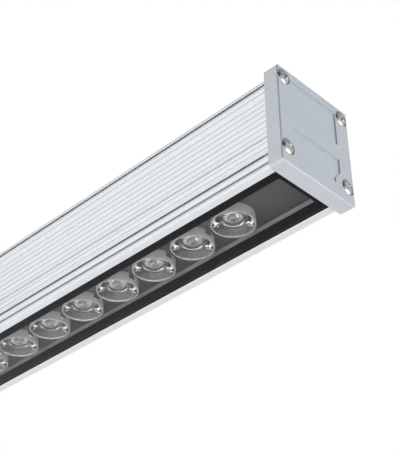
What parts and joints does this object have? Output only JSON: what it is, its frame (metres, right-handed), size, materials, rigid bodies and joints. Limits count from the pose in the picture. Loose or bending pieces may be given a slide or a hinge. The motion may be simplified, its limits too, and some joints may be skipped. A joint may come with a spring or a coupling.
{
  "type": "linear outdoor wall washer light",
  "caption": "Long ribbed aluminium LED wall washer: glass face over a row of lenses, cast end caps, cable gland and tilting brackets that slide on a back rail.",
  "frame": {"origin": "in the mouth of the mounting rail in the back of the housing, halfway along the light", "axes": "+X along the light towards the plain end cap (the cable gland is at -X), +Z out of the back towards the wall, so the light shines towards -Z, +Y across the light"},
  "size_m": [1.0179, 0.048, 0.0949],
  "materials": {
    "anodised_housing": "satin anodised, drawn lengthwise",
    "cover_glass": "clear tempered",
    "black_print": "black fired print seen through glass",
    "black_rubber": "matt",
    "circuit_board": "dark solder mask",
    "led": "clear dome over a pale phosphor",
    "lens_holder": "translucent grey",
    "clear_lens": "clear optical",
    "stainless_screw": "polished",
    "white_plastic": "matt",
    "lead_insulation": "soft sheen",
    "driver_metal": "satin",
    "thermal_pad": "matt",
    "terminal_plastic": "matt",
    "silver_paint": "fine metallic silver paint",
    "grey_silicone": "matt",
    "gland_plastic": "matt black",
    "bolt_steel": "bright",
    "bracket_steel": "brushed stainless"
  },
  "bodies": {
    "fixture": {"housing": "anodised_housing", "cover_glass": "cover_glass", "glass_border": "black_print", "glass_seal": "black_rubber", "led_board_right": "circuit_board", "led_board_left": "circuit_board", "led_row_right": "led", "led_row_left": "led", "holder_row_right": "lens_holder", "holder_row_left": "lens_holder", "lens_row_right": "clear_lens", "lens_row_left": "clear_lens", "board_screws": "stainless_screw", "board_connector": "white_plastic", "lead_grommet": "black_rubber", "output_leads": "lead_insulation", "driver_case": "driver_metal", "driver_pad": "thermal_pad", "input_terminal": "terminal_plastic", "end_cap_right": "silver_paint", "end_cap_left": "silver_paint", "end_gasket_right": "grey_silicone", "end_gasket_left": "grey_silicone", "cap_screws_right": "stainless_screw", "cap_screws_left": "stainless_screw", "gland_body": "gland_plastic", "gland_washer": "black_rubber", "gland_locknut": "gland_plastic", "gland_insert": "black_rubber", "gland_nut": "gland_plastic"},
    "bracket_right": {"slot_nut_right": "bolt_steel", "carriage_right": "bracket_steel", "clamp_bolt_right": "bolt_steel", "pivot_bolt_right": "bolt_steel", "pivot_nut_right": "bolt_steel", "pivot_washers_right": "bolt_steel"},
    "wall_foot_right": {"foot_right": "bracket_steel"},
    "bracket_left": {"slot_nut_left": "bolt_steel", "carriage_left": "bracket_steel", "clamp_bolt_left": "bolt_steel", "pivot_bolt_left": "bolt_steel", "pivot_nut_left": "bolt_steel", "pivot_washers_left": "bolt_steel"},
    "wall_foot_left": {"foot_left": "bracket_steel"}
  },
  "joints": [
    {"name": "right_bracket_slide", "type": "slide", "parent": "fixture", "child": "bracket_right", "axis": [1, 0, 0], "range_m": [-0.14, 0.25]},
    {"name": "right_foot_tilt", "type": "hinge", "parent": "bracket_right", "child": "wall_foot_right", "pos_m": [0.19, 0, 0.0223], "axis": [1, 0, 0], "range_deg": [-90, 90]},
    {"name": "left_bracket_slide", "type": "slide", "parent": "fixture", "child": "bracket_left", "axis": [-1, 0, 0], "range_m": [-0.14, 0.25]},
    {"name": "left_foot_tilt", "type": "hinge", "parent": "bracket_left", "child": "wall_foot_left", "pos_m": [-0.19, 0, 0.0223], "axis": [1, 0, 0], "range_deg": [-90, 90]}
  ],
  "couplings": [
    {"joint": "left_foot_tilt", "follows": "right_foot_tilt", "ratio": 1}
  ]
}
